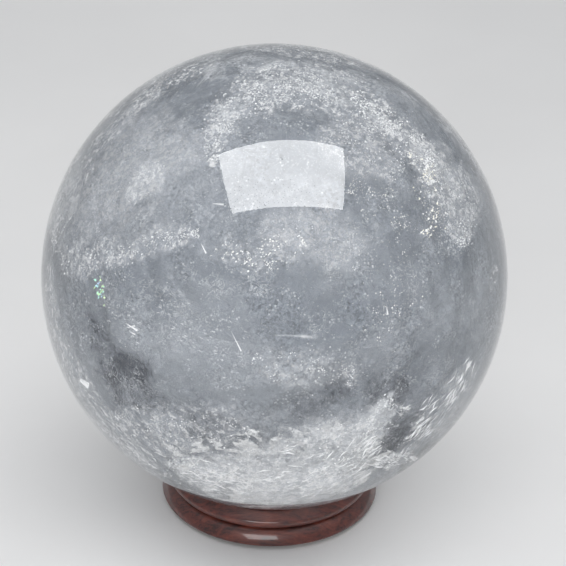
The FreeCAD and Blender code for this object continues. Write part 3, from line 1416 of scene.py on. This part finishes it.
    def snow(self) -> bpy.types.Object:
        """Makes the crushed white zone low in front.

        Returns:
            The piece.
        """
        columns, lines = self.snow_columns, self.snow_lines
        points: list[Vector] = []
        border: list[float] = []
        crest: list[float] = []
        for line in range(lines + 1):
            down = line / lines * 2.0 - 1.0
            for column in range(columns + 1):
                side = column / columns * 2.0 - 1.0
                across = 0.06 + 0.56 * side
                up = -0.80 + 0.19 * down + 0.13 * side * side + 0.07 * side
                way = Vector((across * 6.0 + up * 3.0, up * 11.0, 0.6 * across - up))
                swirl = noise.fractal(way * 0.4, 1.0, 2.0, 3) * 0.8
                way += Vector((swirl, swirl, 0.0))
                fold = noise.ridged_multi_fractal(way, 0.8, 2.1, 8, 0.85, 2.2)
                height = min(max(fold / 2.1, 0.0), 1.0)
                points.append(self.centre + self.inside(across, up, min(0.83 + 0.11 * height, 0.955)))
                border.append(1.0 - math.hypot(side, down))
                crest.append(height)
        mesh = bpy.data.meshes.new("packed_snow")
        mesh.from_pydata(points, [], lattice(lines, columns))
        mesh.shade_smooth()
        store(mesh, "border", border)
        store(mesh, "crest", crest)
        return self.make("packed_snow", mesh, PackedSnow().material())

    def facing(self, place: Vector, flash: float) -> Vector:
        """A random way for a face to look, drawn towards the light.

        Args:
            place: the face's middle, from the ball's middle.
            flash: how strongly it is drawn.

        Returns:
            A unit vector.
        """
        lit = (UP + FRONT.back()).normalized()
        return (self.anywhere() + place.normalized() * 0.5 + lit * flash).normalized()

    def crystal(
        self,
        shards: Shards,
        place: Vector,
        size: float,
        flash: float = 0.5,
        warmth: float = 0.0,
        rainbow: float = 0.0,
    ) -> None:
        """Adds one small crack face.

        Args:
            shards: where it goes.
            place: its middle, from the ball's middle.
            size: its longest reach from its middle, in metres.
            flash: how strongly it is turned to the light.
            warmth: how yellow it is.
            rainbow: how strongly its own hue shows.
        """
        facing = self.facing(place, flash)
        side = facing.orthogonal().normalized()
        other = facing.cross(side)
        count = self.dice.randint(3, 5)
        start = self.dice.uniform(0.0, math.tau)
        thin = self.dice.uniform(0.3, 1.0)
        corners = []
        for step in range(count):
            angle = start + math.tau * step / count
            reach = size * self.dice.uniform(0.5, 1.0)
            spread = side * math.cos(angle) * reach + other * math.sin(angle) * reach * thin
            corners.append(self.centre + place + spread)
        shards.add(corners, self.dice.random(), warmth, rainbow)

    def fibre(self, shards: Shards, place: Vector, ahead: Vector, size: float, flash: float) -> None:
        """Adds one thin bent fibre, as two faces.

        Args:
            shards: where it goes.
            place: its middle, from the ball's middle.
            ahead: the way that it runs.
            size: half its length, in metres.
            flash: how strongly it is turned to the light.
        """
        run = (ahead.normalized() + self.anywhere() * 0.45).normalized() * size
        side = run.cross(self.facing(place, flash)).normalized() * size * self.dice.uniform(0.05, 0.14)
        bend = side * self.dice.uniform(-3.0, 3.0)
        middle = self.centre + place
        hue = self.dice.random()
        shards.add([middle - run, middle + bend - side, middle + bend + side], hue)
        shards.add([middle + run, middle + bend + side, middle + bend - side], hue)

    def grow(self, shards: Shards, zone: Zone, side: Side) -> None:
        """Fills a zone with its crystals or fibres.

        Args:
            shards: where they go.
            zone: the zone.
            side: the side that it is on.
        """
        for _ in range(zone.grains):
            share = self.dice.random()
            across, up, half = zone.at(share)
            left = zone.side(share)
            out = self.dice.gauss(0.0, 0.55) * half
            spot = (across + left[0] * out, up + left[1] * out)
            clump = noise.fractal(Vector((*spot, zone.depth)) * 22.0, 0.8, 2.1, 4)
            if clump * zone.crowd + self.dice.uniform(-0.3, 0.5) < 0.0 or math.hypot(*spot) > 0.975:
                continue
            depth = min(zone.depth + self.dice.gauss(0.0, 0.012), 0.968)
            here = self.on_side(side, *spot, depth)
            if side.open_at(here) < self.dice.random():
                continue
            size = zone.size * MM * self.dice.choice(self.grain_shares)
            if zone.growth is Growth.CRYSTALS:
                self.crystal(shards, here, size, zone.flash, zone.warmth * self.dice.random())
            else:
                further = self.on_side(side, spot[0] + left[1] * 0.02, spot[1] - left[0] * 0.02, depth)
                self.fibre(shards, here, further - here, size, zone.flash)

    def shards(self) -> bpy.types.Object:
        """Scatters crack faces, fibres and slivers through the clear quartz.

        Returns:
            The piece.
        """
        shards = Shards()
        for _ in range(self.loose_grains):
            way = self.anywhere()
            crowd = noise.fractal(way * 3.0, 1.0, 2.0, 4)
            if crowd + self.dice.uniform(-0.5, 0.6) < 0.0:
                continue
            place = way * self.dice.uniform(0.82, 0.965) * self.radius
            self.crystal(shards, place, self.dice.choice(self.loose_sizes) * MM)
        for side in self.sides:
            for zone in self.zones_of(side):
                self.grow(shards, zone, side)
        # These bright flakes carry the painted green-to-cyan glint.
        lit = self.bright_flakes
        for _ in range(self.bright_flake_count):
            across = lit.across + self.dice.gauss(0.0, 0.011)
            up = lit.up + self.dice.gauss(0.0, lit.reach)
            place = self.inside(across, up, 0.93)
            self.crystal(shards, place, self.dice.uniform(0.20, 0.50) * MM, flash=2.5, rainbow=1.0)
        for blade in self.blades:
            start = self.inside(*blade.start, blade.depth)
            end = self.inside(*blade.end, blade.depth)
            flat = (end - start).cross(FRONT.back()).normalized() * blade.width * MM / 2
            tip = flat * blade.point
            corners = (start - tip, start + tip, end + flat, end - flat)
            shards.add([self.centre + corner for corner in corners], 0.3)
        finish = FlashingFlake("flashing_flake")
        return self.make("crack_shards", shards.mesh("crack_shards"), finish.material())

    def build(self) -> None:
        """Makes every piece of the ball."""
        skin = self.skin()
        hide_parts("crystal_ball")
        self.heart()
        sheets = (
            (0.83, DriftingMilk("thin_milk_low", 80.0, 0.47, 0.40, Vector((0.11, 0.0, 0.02)))),
            (0.935, DriftingMilk("thin_milk_high", 60.0, 0.45, 0.22, Vector((0.0, 0.05, 0.31)), 0.05)),
        )
        for number, (depth, finish) in enumerate(sheets, start=1):
            self.milk_shell(number, depth, finish)
        for number, side in enumerate(self.sides):
            hazy = [zone for zone in self.zones_of(side) if zone.haze]
            if side.eye is not FRONT:
                self.veil(f"veils_{side.name}", hazy, side, number + len(self.zones))
                continue
            for count, zone in enumerate(hazy, start=1):
                self.veil(zone.name, [zone], side, count)
        self.snow()
        self.shards()


class Nearness:
    """Tells how much a point inside the ball belongs to any of some patches."""

    def __init__(self, radius: float, room: int = 2000) -> None:
        """Starts with no patch.

        Args:
            radius: the ball's radius.
            room: the most patches that can be added.
        """
        self.radius = radius
        self.spots: list[Spot] = []
        self.tree = KDTree(room)
        self.settled = False

    def add(self, place: Vector, spot: Spot) -> None:
        """Adds a patch.

        Args:
            place: its middle, from the ball's middle.
            spot: its reach and strength.
        """
        self.tree.insert(place, len(self.spots))
        self.spots.append(spot)

    def at(self, here: Vector, wobble: float) -> float:
        """How much a point belongs to a patch.

        Args:
            here: the point, from the ball's middle.
            wobble: roughens the patch's border.

        Returns:
            0 far from all of them, up to 1 in the middle of a strong one.
        """
        if not self.settled:
            self.tree.balance()
            self.settled = True
        most = 0.0
        for _, number, gap in self.tree.find_n(here, 4):
            spot = self.spots[number]
            away = gap / (max(spot.reach, 0.01) * self.radius) + wobble
            most = max(most, spot.strength * min(max((1.7 - away) / 1.3, 0.0), 1.0))
        return most


@dataclass
class RingStand:
    """The two turned rings and their felts."""

    WOODEN = ("base_ring", "seat_ring")
    WINE = Felt("wine_felt", (0.026, 0.005, 0.008), (0.085, 0.016, 0.024), (0.22, 0.07, 0.08))
    BLACK = Felt("black_felt", (0.008, 0.008, 0.009), (0.035, 0.034, 0.036), (0.12, 0.12, 0.12))

    def build(self) -> None:
        """Dresses the stand's pieces."""
        wood = Rosewood().material()
        for name in self.WOODEN:
            self.dress(name, wood)
        self.dress("seat_felt", self.WINE.material())
        self.dress("foot_felt", self.BLACK.material())

    def dress(self, node: str, material: bpy.types.Material) -> None:
        """Gives a carried-over node its finish.

        Args:
            node: the node's name.
            material: its finish.
        """
        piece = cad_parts[node]
        for slot in piece.material_slots:
            slot.material = material
        log.info("%s: dressed in %s", node, material.name)


class Lit(Enum):
    """What a lamp is for: even light, reflections, or reflections in the stand alone."""

    FORM = "form"
    GLOSS = "gloss"
    GLEAM = "gleam"


@dataclass(frozen=True)
class Lamp:
    """A soft rectangular lamp that faces the ball.

    way is where it hangs, from the ball: across, towards the back, and up. twist turns
    it in its own plane, in degrees. No two lamps hang in the same place, because part
    of their light is then lost.
    """

    name: str
    way: tuple[float, float, float]
    distance: float
    size: tuple[float, float]
    watts: float
    use: Lit
    twist: float = 0.0


@dataclass
class Studio:
    """The pale floor, the soft lights and the camera.

    aim is how far the camera looks past the ball's middle, across and up. dim is how
    bright the room is for the object, and pale how bright it looks behind it.
    """

    ball: CrystalBall
    eye: Eye = FRONT
    frame_width: float = 36.0
    lens: float = 185.0
    aim: tuple[float, float] = (1.46 * MM, -1.11 * MM)
    floor_reach: float = 3.0
    dim: float = 0.30
    pale: float = 0.66
    lamps: tuple[Lamp, ...] = (
        Lamp("overhead_window", (0.054, -0.178, 0.983), 0.60, (0.58, 0.37), 5.6, Lit.GLOSS, 8.0),
        Lamp("overhead_soft", (0.051, -0.174, 0.984), 0.65, (0.67, 0.47), 2.7, Lit.FORM),
        Lamp("front_fill", (-0.25, -0.95, 0.26), 0.95, (0.8, 0.4), 3.9, Lit.FORM),
        Lamp("side_fill", (0.8, -0.2, 0.25), 0.90, (0.6, 0.6), 0.6, Lit.FORM),
        Lamp("stand_gleam", (-0.11, -0.79, 0.60), 0.60, (0.31, 0.25), 0.9, Lit.GLEAM),
    )

    def build(self) -> None:
        """Sets up everything round the object."""
        self.floor()
        for lamp in self.lamps:
            self.hang(lamp)
        self.surround()
        self.camera()

    def floor(self) -> None:
        """Lays the floor."""
        shape = bmesh.new()
        bmesh.ops.create_grid(shape, x_segments=8, y_segments=8, size=self.floor_reach)
        mesh = bpy.data.meshes.new("floor")
        shape.to_mesh(mesh)
        shape.free()
        piece = add_object("floor", mesh)
        mesh.materials.append(PaleFloor().material())

    def hang(self, lamp: Lamp) -> None:
        """Hangs one lamp.

        Args:
            lamp: its size, place and power.
        """
        data = bpy.data.lights.new(lamp.name, "AREA")
        data.shape = "RECTANGLE"
        data.size, data.size_y = lamp.size
        data.energy = lamp.watts
        made = bpy.data.objects.new(lamp.name, data)
        bpy.context.scene.collection.objects.link(made)
        back = Vector(lamp.way).normalized()
        across = Vector((0.0, 1.0, 0.0)).cross(back).normalized()
        across = Quaternion(back, math.radians(lamp.twist)) @ across
        turn = Matrix((across, back.cross(across), back)).transposed()
        made.location = self.ball.centre + back * lamp.distance
        made.rotation_mode = "QUATERNION"
        made.rotation_quaternion = turn.to_quaternion()
        made.visible_glossy = lamp.use is not Lit.FORM
        made.visible_transmission = lamp.use is Lit.GLOSS
        made.visible_diffuse = lamp.use is Lit.FORM
        if lamp.use is Lit.GLEAM:
            lit = bpy.data.collections.new(lamp.name)
            for name in RingStand.WOODEN:
                lit.objects.link(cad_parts[name])
            made.light_linking.receiver_collection = lit

    def surround(self) -> None:
        """Sets the dim room round the object."""
        world = bpy.data.worlds.new("studio")
        world.use_nodes = True
        wiring = Wiring(world.node_tree)
        back = world.node_tree.nodes["Background"]
        back.inputs["Color"].default_value = (0.93, 0.96, 1.0, 1.0)
        seen = wiring.node("LightPath").outputs["Is Camera Ray"]
        wiring.feed(back.inputs["Strength"], wiring.ramp(seen, 0.0, 1.0, self.dim, self.pale))
        bpy.context.scene.world = world

    def camera(self) -> None:
        """Places the camera at the eye."""
        data = bpy.data.cameras.new("camera")
        data.sensor_width = self.frame_width
        data.lens = self.lens
        camera = bpy.data.objects.new("camera", data)
        bpy.context.scene.collection.objects.link(camera)
        across, top = self.eye.axes()
        back = self.eye.back()
        aim = self.ball.centre + across * self.aim[0] + top * self.aim[1]
        camera.location = aim + back * self.eye.distance
        turn = Matrix((across, top, back)).transposed()
        camera.rotation_mode = "QUATERNION"
        camera.rotation_quaternion = turn.to_quaternion()
        bpy.context.scene.camera = camera


def tune_paths() -> None:
    """Lets light through the many thin sheets inside the ball."""
    paths = bpy.context.scene.cycles
    paths.max_bounces = 7
    paths.diffuse_bounces = 2
    paths.transmission_bounces = 5
    paths.transparent_max_bounces = 16
    paths.caustics_reflective = False
    paths.caustics_refractive = False
    bpy.context.scene.view_settings.view_transform = "Standard"


def main() -> None:
    """Builds the ball, the stand and the studio, in that order."""
    logging.basicConfig(level=logging.INFO, format="%(name)s: %(message)s")
    ball = CrystalBall()
    ball.build()
    RingStand().build()
    Studio(ball).build()
    tune_paths()


if __name__ == "__main__":
    main()
